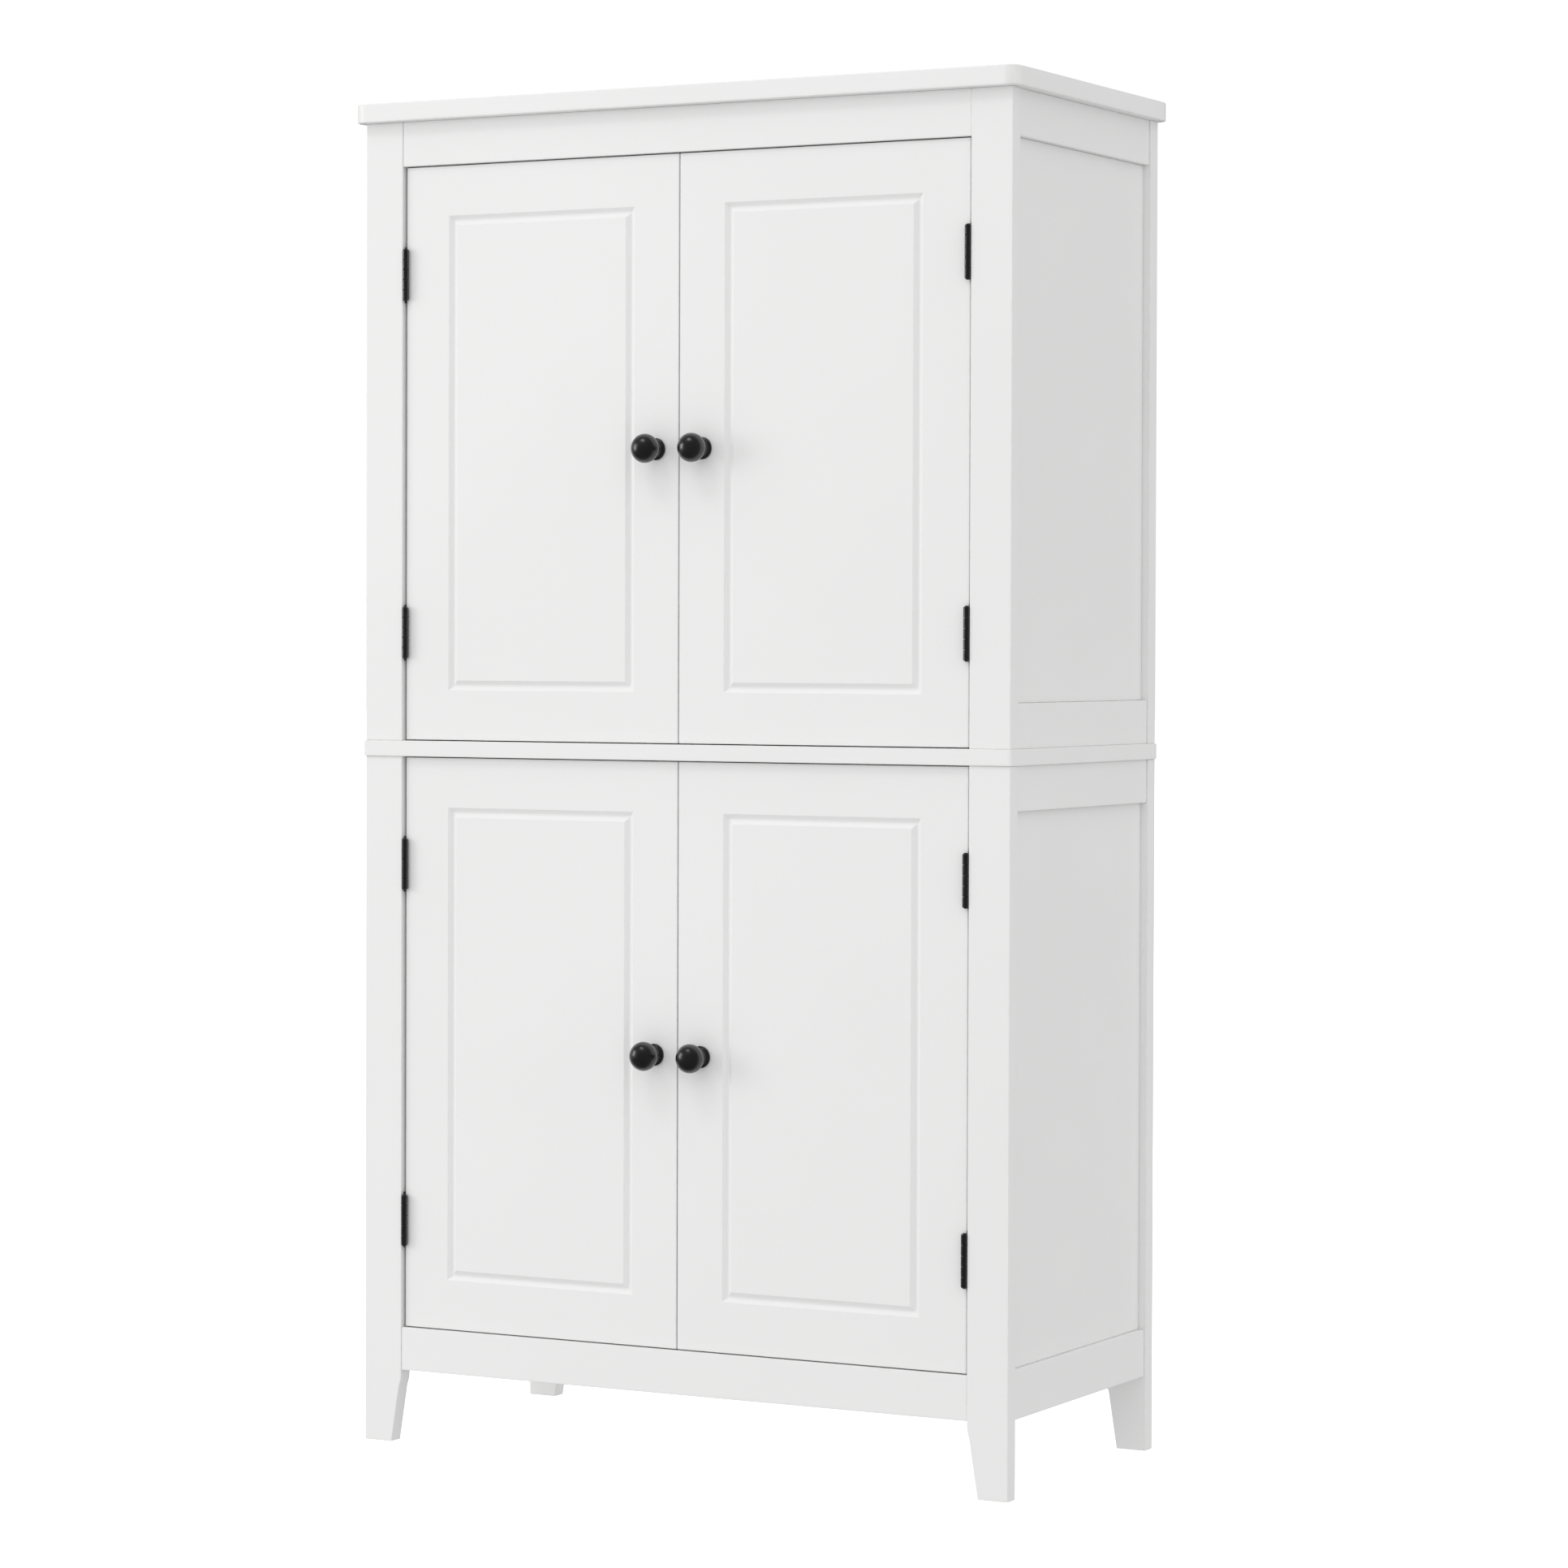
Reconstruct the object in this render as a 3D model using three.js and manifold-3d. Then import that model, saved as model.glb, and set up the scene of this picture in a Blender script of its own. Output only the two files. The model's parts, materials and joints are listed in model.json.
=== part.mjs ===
// White four-door pantry cabinet: two stacked units between flat board legs.
// Millimetres, +Z up, doors face -Y. Inside the cabinet group y = 0 is the middle of the legs' depth.
import * as THREE from "three";
import { mergeVertices } from "three/addons/utils/BufferGeometryUtils.js";
import { RoundedBoxGeometry } from "three/addons/geometries/RoundedBoxGeometry.js";
import Module from "manifold-3d";

const wasm = await Module();
wasm.setup();

// ---- Driving dimensions ----
const TOTAL_HEIGHT = 1280;
const LEG_SPAN_X = 684;
const LEG_SPAN_Y = 320;
const LEG_WIDTH = 41;
const LEG_THICK = 16;

const TOP_THICK = 18;
const TOP_OVER_SIDE = 8;
const TOP_OVER_FRONT = 10;
const TOP_OVER_REAR = 8;
const TOP_CORNER = 10;

const MID_TOP = 672.5;
const MID_THICK = 15;
const MID_OVER_SIDE = 1.5;
const MID_OVER_FRONT = 2;
const MID_OVER_REAR = 1.5;
const MID_CORNER = 2;

const APRON_BOTTOM = 1219.5;
const FRONT_RAIL_BOTTOM = 69.5;
const FRONT_RAIL_TOP = 110.5;
const CROSS_RAIL_THICK = 15;
const CROSS_RAIL_SETBACK = 0.6;

const SIDE_RAIL_SETBACK = 1.8;
const SIDE_PANEL_SETBACK = 7.5;
const SIDE_PANEL_THICK = 12;
const SIDE_RAIL_HEIGHT = 41;
const SIDE_SILL_BOTTOM = 71;
const SIDE_SILL_TOP = 115.5;

const BACK_THICK = 4;
const BACK_GROOVE = 5;
const BACK_SETBACK = 8;
const FLOOR_THICK = 15;

const SHELF_THICK = 15;
const SHELF_SIDE_GAP = 1;
const SHELF_FRONT_Y = -136;
const SHELF_REAR_Y = 143;

const FOOT_WIDTH = 30;
const FOOT_CURVE_TOP = 66;
const FOOT_CURVE_BOTTOM = 54;

const DOOR_THICK = 15;
const DOOR_SETBACK = 4;
const DOOR_SIDE_GAP = 2.5;
const DOOR_MEET_GAP = 1.2;
const DOOR_END_GAP = 1;
const GROOVE_INSET = 47.5;
const GROOVE_WIDTH = 9;
const GROOVE_DEPTH = 2.8;
const GROOVE_FLOOR = 1.6;

const KNOB_EDGE = 24;
const KNOB_RADIUS = 13.5;
const KNOB_HALF_DEPTH = 11.5;
const KNOB_CENTRE = 20.5;
const KNOB_NECK = 6;
const KNOB_FLANGE = 10.3;

const HINGE_FROM_END = 102;
const HINGE_LEAF_HEIGHT = 53;
const HINGE_LEAF_DEPTH = 14.5;
const HINGE_LEAF_THICK = 1;
const HINGE_LEAF_CORNER = 3;
const BARREL_LENGTH = 48;
const BARREL_RADIUS = 3.1;
const BARREL_CLEAR = 0.2;
const KNUCKLES = 5;
const KNUCKLE_GAP = 0.3;
const PIN_RADIUS = 1.5;
const PIN_BORE = 1.6;
const PIN_TIP = 1.2;

const CATCH_WIDTH = 48;
const CATCH_DEPTH = 20;
const CATCH_HEIGHT = 12;
const CATCH_DOOR_GAP = 1.3;
const STRIKE_NEAR = 4;
const STRIKE_FAR = 21.5;
const STRIKE_HEIGHT = 10;
const STRIKE_THICK = 0.9;
const STRIKE_SHIFT = 3;

const EDGE = 1;
const JOINT_GAP = 0.1;
const KNOB_SIDES = 24;
const BARREL_SIDES = 14;

// ---- Sizes that follow from them ----
const legOuterX = LEG_SPAN_X / 2;
const legInnerX = legOuterX - LEG_WIDTH;
const frontY = -LEG_SPAN_Y / 2;
const rearY = LEG_SPAN_Y / 2;
const topUnderside = TOTAL_HEIGHT - TOP_THICK;
const midUnderside = MID_TOP - MID_THICK;
const sideInnerX = legOuterX - SIDE_PANEL_SETBACK - SIDE_PANEL_THICK;
const sideRunY = LEG_SPAN_Y - 2 * LEG_THICK;
const doorFaceY = frontY + DOOR_SETBACK;
const doorWidth = legInnerX - DOOR_SIDE_GAP - DOOR_MEET_GAP / 2;
const doorHeight = APRON_BOTTOM - MID_TOP - 2 * DOOR_END_GAP;
const barrelY = doorFaceY - BARREL_RADIUS - BARREL_CLEAR;
const barrelX = legInnerX - BARREL_RADIUS - JOINT_GAP;
const knobReach = KNOB_CENTRE + KNOB_HALF_DEPTH;
const originShiftY = -(doorFaceY - knobReach + rearY + TOP_OVER_REAR) / 2;

// ---- Finishes ----
const finishes = {
  paint: { color: 0xf1f0ee, roughness: 0.45, metalness: 0 },
  board: { color: 0xe9e8e5, roughness: 0.6, metalness: 0 },
  black: { color: 0x141414, roughness: 0.35, metalness: 0.5 },
  catch: { color: 0xd8d8d6, roughness: 0.5, metalness: 0 },
};

const cabinet = new THREE.Group();
cabinet.name = "cabinet";
cabinet.position.y = originShiftY;

function addMesh(parent, name, geometry, finish, x = 0, y = 0, z = 0) {
  const mesh = new THREE.Mesh(geometry, new THREE.MeshStandardMaterial(finishes[finish]));
  mesh.name = name;
  mesh.position.set(x, y, z);
  parent.add(mesh);
  return mesh;
}

// ---- Joining and cutting ----
function toSolid(geometry) {
  const plain = geometry.clone();
  plain.deleteAttribute("normal");
  plain.deleteAttribute("uv");
  const merged = mergeVertices(plain, 1e-4);
  return new wasm.Manifold(new wasm.Mesh({
    numProp: 3,
    vertProperties: new Float32Array(merged.attributes.position.array),
    triVerts: new Uint32Array(merged.index.array),
  }));
}

function toGeometry(solid) {
  const mesh = solid.getMesh();
  const indexed = new THREE.BufferGeometry();
  indexed.setAttribute("position", new THREE.BufferAttribute(new Float32Array(mesh.vertProperties), 3));
  indexed.setIndex(new THREE.BufferAttribute(new Uint32Array(mesh.triVerts), 1));
  const flat = indexed.toNonIndexed();
  flat.computeVertexNormals();
  return flat;
}

// ---- Basic board shapes ----
function eased(sizeX, sizeY, sizeZ) {
  return new RoundedBoxGeometry(sizeX, sizeY, sizeZ, 1, EDGE);
}

// An upright or lying board given by its limits on each axis.
function addBoard(name, finish, lowX, highX, lowY, highY, lowZ, highZ) {
  const geometry = eased(highX - lowX, highY - lowY, highZ - lowZ);
  addMesh(cabinet, name, geometry, finish, (lowX + highX) / 2, (lowY + highY) / 2, (lowZ + highZ) / 2);
}

// A lying board with rounded plan corners and eased edges.
function roundedPlate(halfX, lowY, highY, thick, corner) {
  const outline = new THREE.Shape();
  outline.moveTo(-halfX + corner, lowY);
  outline.lineTo(halfX - corner, lowY);
  outline.quadraticCurveTo(halfX, lowY, halfX, lowY + corner);
  outline.lineTo(halfX, highY - corner);
  outline.quadraticCurveTo(halfX, highY, halfX - corner, highY);
  outline.lineTo(-halfX + corner, highY);
  outline.quadraticCurveTo(-halfX, highY, -halfX, highY - corner);
  outline.lineTo(-halfX, lowY + corner);
  outline.quadraticCurveTo(-halfX, lowY, -halfX + corner, lowY);
  const geometry = new THREE.ExtrudeGeometry(outline, {
    depth: thick - 2 * EDGE,
    bevelThickness: EDGE,
    bevelSize: EDGE,
    bevelOffset: -EDGE,
    bevelSegments: 2,
    curveSegments: 6,
  });
  geometry.translate(0, 0, EDGE);
  return geometry;
}

// A block with four sloping walls: one rectangle at the face, another one below it.
function frustum(faceX, faceZ, deepX, deepZ, depth) {
  const geometry = new THREE.BoxGeometry(1, 1, 1);
  const points = geometry.attributes.position;
  for (let i = 0; i < points.count; i += 1) {
    const atFace = points.getY(i) < 0;
    const sizeX = atFace ? faceX : deepX;
    const sizeZ = atFace ? faceZ : deepZ;
    points.setXYZ(i, points.getX(i) * sizeX, atFace ? 0 : depth, points.getZ(i) * sizeZ);
  }
  return toSolid(geometry);
}

// ---- Horizontal boards ----
const topPlate = roundedPlate(
  legOuterX + TOP_OVER_SIDE, frontY - TOP_OVER_FRONT, rearY + TOP_OVER_REAR, TOP_THICK, TOP_CORNER,
);
addMesh(cabinet, "top_board", topPlate, "paint", 0, 0, topUnderside);

const midPlate = roundedPlate(
  legOuterX + MID_OVER_SIDE, frontY - MID_OVER_FRONT, rearY + MID_OVER_REAR, MID_THICK, MID_CORNER,
);
addMesh(cabinet, "mid_board", midPlate, "paint", 0, 0, midUnderside);

const crossFrontY = frontY + CROSS_RAIL_SETBACK;
const crossBackY = crossFrontY + CROSS_RAIL_THICK;
const backFrontY = rearY - BACK_SETBACK - BACK_THICK;
const backRearY = rearY - BACK_SETBACK;
const floorLowZ = FRONT_RAIL_TOP - FLOOR_THICK;
const floorHalfX = sideInnerX - JOINT_GAP;
addBoard("bottom_board", "paint", -floorHalfX, floorHalfX, crossBackY + 1, rearY - LEG_THICK - JOINT_GAP,
  floorLowZ, FRONT_RAIL_TOP);

// ---- Rails across the front and the rear ----
const crossHalfX = legInnerX - JOINT_GAP;
addBoard("front_apron", "paint", -crossHalfX, crossHalfX, crossFrontY, crossBackY,
  APRON_BOTTOM, topUnderside);
addBoard("front_rail", "paint", -crossHalfX, crossHalfX, crossFrontY, crossBackY,
  FRONT_RAIL_BOTTOM, FRONT_RAIL_TOP);
addBoard("rear_rail", "paint", -crossHalfX, crossHalfX, rearY - LEG_THICK, rearY - CROSS_RAIL_SETBACK,
  FRONT_RAIL_BOTTOM, FRONT_RAIL_TOP);

// ---- Back panels, held in grooves along the rear legs' inner edges ----
const backHalfX = legInnerX + BACK_GROOVE - JOINT_GAP * 3;
addBoard("back_panel_upper", "board", -backHalfX, backHalfX, backFrontY, backRearY, MID_TOP, topUnderside);
addBoard("back_panel_lower", "board", -backHalfX, backHalfX, backFrontY, backRearY,
  FRONT_RAIL_TOP, midUnderside);

// ---- Leg boards ----
// The foot's inner edge leaves the straight leg on a short curve, then runs straight to the floor.
function lowerLegOutline(side) {
  const outer = side * legOuterX;
  const inner = side * legInnerX;
  const footInner = side * (legOuterX - FOOT_WIDTH);
  const curveEnd = inner + side * (FOOT_CURVE_TOP - FOOT_CURVE_BOTTOM) * 0.2;
  const outline = new THREE.Shape();
  outline.moveTo(outer, 0);
  outline.lineTo(outer, midUnderside);
  outline.lineTo(inner, midUnderside);
  outline.lineTo(inner, FOOT_CURVE_TOP);
  outline.quadraticCurveTo(inner, (FOOT_CURVE_TOP + FOOT_CURVE_BOTTOM) / 2, curveEnd, FOOT_CURVE_BOTTOM);
  outline.lineTo(footInner, 0);
  outline.closePath();
  return outline;
}

function lowerLeg(side) {
  const geometry = new THREE.ExtrudeGeometry(lowerLegOutline(side), {
    depth: LEG_THICK - 2 * EDGE,
    bevelThickness: EDGE,
    bevelSize: EDGE,
    bevelOffset: -EDGE,
    bevelSegments: 1,
    curveSegments: 5,
  });
  geometry.rotateX(Math.PI / 2);
  geometry.translate(0, LEG_THICK / 2 - EDGE, 0);
  return geometry;
}

function upperLeg(side) {
  const geometry = eased(LEG_WIDTH, LEG_THICK, topUnderside - MID_TOP);
  geometry.translate(side * (legOuterX - LEG_WIDTH / 2), 0, (topUnderside + MID_TOP) / 2);
  return geometry;
}

// Groove for the back panel along the inner edge of a rear leg.
function backGroove(side, lowZ, highZ) {
  const cutWidth = BACK_GROOVE + 10;
  const geometry = new THREE.BoxGeometry(cutWidth, BACK_THICK + 2 * JOINT_GAP, highZ - lowZ + 2);
  const centreX = side * (legInnerX + BACK_GROOVE - cutWidth / 2);
  geometry.translate(centreX, (backFrontY + backRearY) / 2 - (rearY - LEG_THICK / 2), (lowZ + highZ) / 2);
  return toSolid(geometry);
}

const sides = [{ word: "left", sign: -1 }, { word: "right", sign: 1 }];
for (const { word, sign } of sides) {
  const frontCentreY = frontY + LEG_THICK / 2;
  const rearCentreY = rearY - LEG_THICK / 2;
  addMesh(cabinet, `leg_upper_front_${word}`, upperLeg(sign), "paint", 0, frontCentreY, 0);
  addMesh(cabinet, `leg_lower_front_${word}`, lowerLeg(sign), "paint", 0, frontCentreY, 0);
  const upperRear = toSolid(upperLeg(sign)).subtract(backGroove(sign, MID_TOP, topUnderside));
  const lowerRear = toSolid(lowerLeg(sign)).subtract(backGroove(sign, FRONT_RAIL_TOP, midUnderside));
  addMesh(cabinet, `leg_upper_rear_${word}`, toGeometry(upperRear), "paint", 0, rearCentreY, 0);
  addMesh(cabinet, `leg_lower_rear_${word}`, toGeometry(lowerRear), "paint", 0, rearCentreY, 0);
}

// ---- Sides: a recessed panel between a top and a bottom rail in each unit ----
const units = [
  {
    word: "upper",
    lowZ: MID_TOP,
    sillTop: MID_TOP + SIDE_RAIL_HEIGHT,
    headBottom: APRON_BOTTOM,
    highZ: topUnderside,
    catchEnd: -1,
  },
  {
    word: "lower",
    lowZ: SIDE_SILL_BOTTOM,
    sillTop: SIDE_SILL_TOP,
    headBottom: midUnderside - SIDE_RAIL_HEIGHT,
    highZ: midUnderside,
    catchEnd: 1,
  },
];
const sideHalfY = sideRunY / 2 - JOINT_GAP;

function addSidePiece(name, finish, sign, outerX, lowZ, highZ) {
  const lowX = Math.min(sign * sideInnerX, sign * outerX);
  const highX = Math.max(sign * sideInnerX, sign * outerX);
  addBoard(name, finish, lowX, highX, -sideHalfY, sideHalfY, lowZ, highZ);
}

for (const unit of units) {
  for (const { word, sign } of sides) {
    const tag = `${unit.word}_${word}`;
    const railX = legOuterX - SIDE_RAIL_SETBACK;
    addSidePiece(`side_head_${tag}`, "paint", sign, railX, unit.headBottom, unit.highZ);
    addSidePiece(`side_sill_${tag}`, "paint", sign, railX, unit.lowZ, unit.sillTop);
    addSidePiece(`side_panel_${tag}`, "paint", sign, legOuterX - SIDE_PANEL_SETBACK,
      unit.sillTop + JOINT_GAP, unit.headBottom - JOINT_GAP);
  }
}

// ---- Inner shelves, one in each unit, at the middle of the doors ----
const shelfHalfX = sideInnerX - SHELF_SIDE_GAP;
const doorCentres = { upper: (APRON_BOTTOM + MID_TOP) / 2, lower: (midUnderside + FRONT_RAIL_TOP) / 2 };
for (const unit of units) {
  const middle = doorCentres[unit.word];
  addBoard(`shelf_${unit.word}`, "paint", -shelfHalfX, shelfHalfX, SHELF_FRONT_Y, SHELF_REAR_Y,
    middle - SHELF_THICK / 2, middle + SHELF_THICK / 2);
}

// ---- Double magnetic catches above and below the middle board ----
const catchFrontY = doorFaceY + DOOR_THICK + CATCH_DOOR_GAP;
addBoard("catch_upper", "catch", -CATCH_WIDTH / 2, CATCH_WIDTH / 2, catchFrontY, catchFrontY + CATCH_DEPTH,
  MID_TOP, MID_TOP + CATCH_HEIGHT);
addBoard("catch_lower", "catch", -CATCH_WIDTH / 2, CATCH_WIDTH / 2, catchFrontY, catchFrontY + CATCH_DEPTH,
  midUnderside - CATCH_HEIGHT, midUnderside);

// ---- Doors: a slab with a rectangular groove routed into its face ----
// Built around the door's own centre, with the face at y = 0.
function doorGeometry() {
  const slab = eased(doorWidth, DOOR_THICK, doorHeight);
  slab.translate(0, DOOR_THICK / 2, 0);
  const outerX = doorWidth - 2 * GROOVE_INSET;
  const outerZ = doorHeight - 2 * GROOVE_INSET;
  const slope = (GROOVE_WIDTH - GROOVE_FLOOR) / 2;
  const inner = GROOVE_WIDTH * 2;
  const outerWall = frustum(outerX, outerZ, outerX - 2 * slope, outerZ - 2 * slope, GROOVE_DEPTH);
  const innerWall = frustum(outerX - inner, outerZ - inner,
    outerX - inner + 2 * slope, outerZ - inner + 2 * slope, GROOVE_DEPTH);
  return toGeometry(toSolid(slab).subtract(outerWall.subtract(innerWall)));
}

// A round flange on the door, a waisted neck and a slightly flattened ball, turned about one axis.
function knobGeometry() {
  const profile = [new THREE.Vector2(0, 0), new THREE.Vector2(KNOB_FLANGE, 0)];
  profile.push(new THREE.Vector2(KNOB_FLANGE, 1.4));
  profile.push(new THREE.Vector2(KNOB_FLANGE - 0.8, 2.4));
  profile.push(new THREE.Vector2(KNOB_NECK + 1.6, 4));
  profile.push(new THREE.Vector2(KNOB_NECK, 6.4));
  const start = Math.asin(KNOB_NECK / KNOB_RADIUS);
  const steps = 10;
  for (let i = 0; i < steps; i += 1) {
    const angle = Math.PI - start - ((Math.PI - start) * i) / steps;
    profile.push(new THREE.Vector2(
      KNOB_RADIUS * Math.sin(angle), KNOB_CENTRE + KNOB_HALF_DEPTH * Math.cos(angle),
    ));
  }
  profile.push(new THREE.Vector2(0, knobReach));
  const geometry = new THREE.LatheGeometry(profile, KNOB_SIDES);
  geometry.rotateX(Math.PI);
  return geometry;
}

// ---- Hinges ----
// Both leaves are drawn about the barrel's axis for a hinge on the right; x points to the leg.
function upright(radius, lowZ, highZ) {
  const geometry = new THREE.CylinderGeometry(radius, radius, highZ - lowZ, BARREL_SIDES);
  geometry.rotateX(Math.PI / 2);
  geometry.translate(0, 0, (lowZ + highZ) / 2);
  return toSolid(geometry);
}

function leafPlate(lowX, startY) {
  const half = HINGE_LEAF_HEIGHT / 2;
  const endY = BARREL_RADIUS + BARREL_CLEAR + HINGE_LEAF_DEPTH;
  const corner = HINGE_LEAF_CORNER;
  const outline = new THREE.Shape();
  outline.moveTo(-half, startY);
  outline.lineTo(half, startY);
  outline.lineTo(half, endY - corner);
  outline.quadraticCurveTo(half, endY, half - corner, endY);
  outline.lineTo(-half + corner, endY);
  outline.quadraticCurveTo(-half, endY, -half, endY - corner);
  outline.closePath();
  const options = { depth: HINGE_LEAF_THICK, bevelEnabled: false, curveSegments: 4 };
  const geometry = new THREE.ExtrudeGeometry(outline, options);
  geometry.rotateY(Math.PI / 2);
  geometry.translate(lowX, 0, 0);
  return toSolid(geometry);
}

function knuckleLimits(index) {
  const pitch = BARREL_LENGTH / KNUCKLES;
  const lowZ = -BARREL_LENGTH / 2 + index * pitch;
  return [lowZ + KNUCKLE_GAP / 2, lowZ + pitch - KNUCKLE_GAP / 2];
}

// Takes the plate away from beside the knuckles that belong to the other leaf, and past the barrel's ends.
function barrelNotch(lowZ, highZ, endY) {
  const geometry = new THREE.BoxGeometry(8, 8, highZ - lowZ);
  geometry.translate(BARREL_RADIUS - 1, endY - 4, (lowZ + highZ) / 2);
  return toSolid(geometry);
}

function leafSolid(ownFirst, plateX, startY, clearY) {
  let solid = leafPlate(plateX, startY);
  const half = BARREL_LENGTH / 2;
  solid = solid.subtract(barrelNotch(half, half + 10, clearY));
  solid = solid.subtract(barrelNotch(-half - 10, -half, clearY));
  for (let index = 0; index < KNUCKLES; index += 1) {
    const [lowZ, highZ] = knuckleLimits(index);
    const isOwn = index % 2 === ownFirst;
    if (isOwn) {
      solid = solid.add(upright(BARREL_RADIUS, lowZ, highZ));
    } else {
      solid = solid.subtract(barrelNotch(lowZ - KNUCKLE_GAP, highZ + KNUCKLE_GAP, clearY));
    }
  }
  return solid;
}

const frameLeafX = BARREL_RADIUS + JOINT_GAP - HINGE_LEAF_THICK;
const doorLeafX = BARREL_RADIUS + JOINT_GAP - DOOR_SIDE_GAP;
const doorClearY = BARREL_RADIUS + BARREL_CLEAR;
const pinHalf = BARREL_LENGTH / 2 + PIN_TIP;
const frameLeaf = leafSolid(0, frameLeafX, 0.5, 2.7).add(upright(PIN_RADIUS, -pinHalf, pinHalf));
const doorLeaf = leafSolid(1, doorLeafX, 1, doorClearY).subtract(upright(PIN_BORE, -40, 40));

function leafGeometry(solid, sign) {
  return toGeometry(sign > 0 ? solid : solid.mirror([1, 0, 0]));
}

// A thin plate on the door's back that the catch holds.
function strikePlate() {
  return new THREE.BoxGeometry(STRIKE_FAR - STRIKE_NEAR, STRIKE_THICK, STRIKE_HEIGHT);
}

const strikeX = (STRIKE_NEAR + STRIKE_FAR) / 2;
const strikeY = doorFaceY + DOOR_THICK + STRIKE_THICK / 2;
const strikeZ = doorHeight / 2 + DOOR_END_GAP - CATCH_HEIGHT / 2 - STRIKE_SHIFT;

// ---- Door sets: slab, knob, strike plate and both door leaves turn together about the barrel's axis ----
for (const unit of units) {
  const middle = doorCentres[unit.word];
  for (const { word, sign } of sides) {
    const tag = `${unit.word}_${word}`;
    const doorSet = new THREE.Group();
    doorSet.name = `door_set_${tag}`;
    doorSet.position.set(sign * barrelX, barrelY, middle);
    cabinet.add(doorSet);

    const doorX = sign * (legInnerX - DOOR_SIDE_GAP - doorWidth / 2 - barrelX);
    const knobX = sign * (DOOR_MEET_GAP / 2 + KNOB_EDGE - barrelX);
    addMesh(doorSet, `door_${tag}`, doorGeometry(), "paint", doorX, doorFaceY - barrelY, 0);
    addMesh(doorSet, `knob_${tag}`, knobGeometry(), "black", knobX, doorFaceY - barrelY, 0);
    addMesh(doorSet, `strike_plate_${tag}`, strikePlate(), "black",
      sign * (strikeX - barrelX), strikeY - barrelY, unit.catchEnd * strikeZ);

    const reach = doorHeight / 2 - HINGE_FROM_END;
    for (const [place, offset] of [["top", reach], ["low", -reach]]) {
      const part = `${tag}_${place}`;
      addMesh(doorSet, `hinge_door_leaf_${part}`, leafGeometry(doorLeaf, sign), "black", 0, 0, offset);
      addMesh(cabinet, `hinge_frame_leaf_${part}`, leafGeometry(frameLeaf, sign), "black",
        sign * barrelX, barrelY, middle + offset);
    }
  }
}

export default cabinet;
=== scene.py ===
import json
import math

import bmesh
import bpy
from mathutils import Matrix, Vector


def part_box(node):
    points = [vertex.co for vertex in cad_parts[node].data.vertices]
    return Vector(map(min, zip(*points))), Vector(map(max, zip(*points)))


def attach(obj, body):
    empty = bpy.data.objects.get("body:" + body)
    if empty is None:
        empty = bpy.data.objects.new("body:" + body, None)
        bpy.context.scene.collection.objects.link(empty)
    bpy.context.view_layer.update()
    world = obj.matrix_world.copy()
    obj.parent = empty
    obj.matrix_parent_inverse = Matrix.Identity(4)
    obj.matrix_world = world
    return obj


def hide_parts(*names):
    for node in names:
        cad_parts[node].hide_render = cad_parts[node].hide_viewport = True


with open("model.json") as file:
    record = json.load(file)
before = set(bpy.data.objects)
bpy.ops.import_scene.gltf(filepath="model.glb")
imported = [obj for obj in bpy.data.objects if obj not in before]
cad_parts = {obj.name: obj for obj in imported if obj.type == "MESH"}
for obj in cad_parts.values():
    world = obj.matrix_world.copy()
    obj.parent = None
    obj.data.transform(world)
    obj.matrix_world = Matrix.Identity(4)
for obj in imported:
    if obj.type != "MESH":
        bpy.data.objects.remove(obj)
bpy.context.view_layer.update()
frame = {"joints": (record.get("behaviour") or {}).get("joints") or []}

# Metres throughout, +Z up, the doors face -Y.
SIDES = {"left": -1, "right": 1}
UNITS = ("upper", "lower")
PLACES = ("top", "low")

# ---- Camera and light ----
CAMERA_PLACE = Vector((2.10877, -3.86814, 0.76526))
CAMERA_YAW = 0.492571
CAMERA_PITCH = -0.018565
CAMERA_ROLL = 0.003035
CAMERA_LENS = 106.134
CAMERA_SHIFT_Y = -0.03416
SENSOR_WIDTH = 36.0
FLOOR_SIZE = 40.0
FLOOR_GLOW = 0.8
GLOSS_SHARE = 0.12

# ---- Edges of boards ----
EASE = 0.0007
EDGE_BAND = 0.0022
ARC_STEPS = 3
PLAN_CORNER = 0.0008
TINY = 0.00025

# ---- Door groove, measured from the door's edges ----
GROOVE_INSET = 0.0475
GROOVE_WIDTH = 0.0090
GROOVE_DEPTH = 0.0028
GROOVE_FLOOR = 0.0016
GROOVE_ARRIS = 0.0004
GROOVE_STEPS = 3

# ---- Knob, measured out from the door's face ----
KNOB_SIDES = 64
KNOB_BALL_STEPS = 26
KNOB_RADIUS = 0.0135
KNOB_HALF_DEPTH = 0.0115
KNOB_CENTRE = 0.0205
KNOB_NECK = 0.0060
KNOB_FLANGE = 0.0103
FLANGE_EDGE = 0.0011
FLANGE_ROUND = 0.0009
FLANGE_EASE = 0.0002
NECK_START = 0.0024
NECK_FLARE = 0.0026

# ---- Hinge ----
BARREL_RADIUS = 0.0031
BARREL_LENGTH = 0.048
KNUCKLES = 5
KNUCKLE_GAP = 0.0003
KNUCKLE_RIM = 0.00025
PIN_RADIUS = 0.0015
PIN_CLEAR = 0.00005
PIN_HEAD_RADIUS = 0.0022
PIN_HEAD_REACH = 0.0012
ROUND_SIDES = 32
DOOR_SIDE_GAP = 0.0025
FACE_CLEAR = 0.0002
TOUCH_GAP = 0.0001
LEAF_THICK = 0.0010
LEAF_CORNER = 0.0030
FRAME_LEAF_NEAR = 0.0012
FRAME_LEAF_NOTCH = 0.0028
DOOR_LEAF_NEAR = 0.0022
METAL_EASE = 0.0002
METAL_BAND = 0.0003
SCREW_RADIUS = 0.0027
SCREW_SPACING = 0.0175
SCREW_REACH = 0.0072
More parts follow.
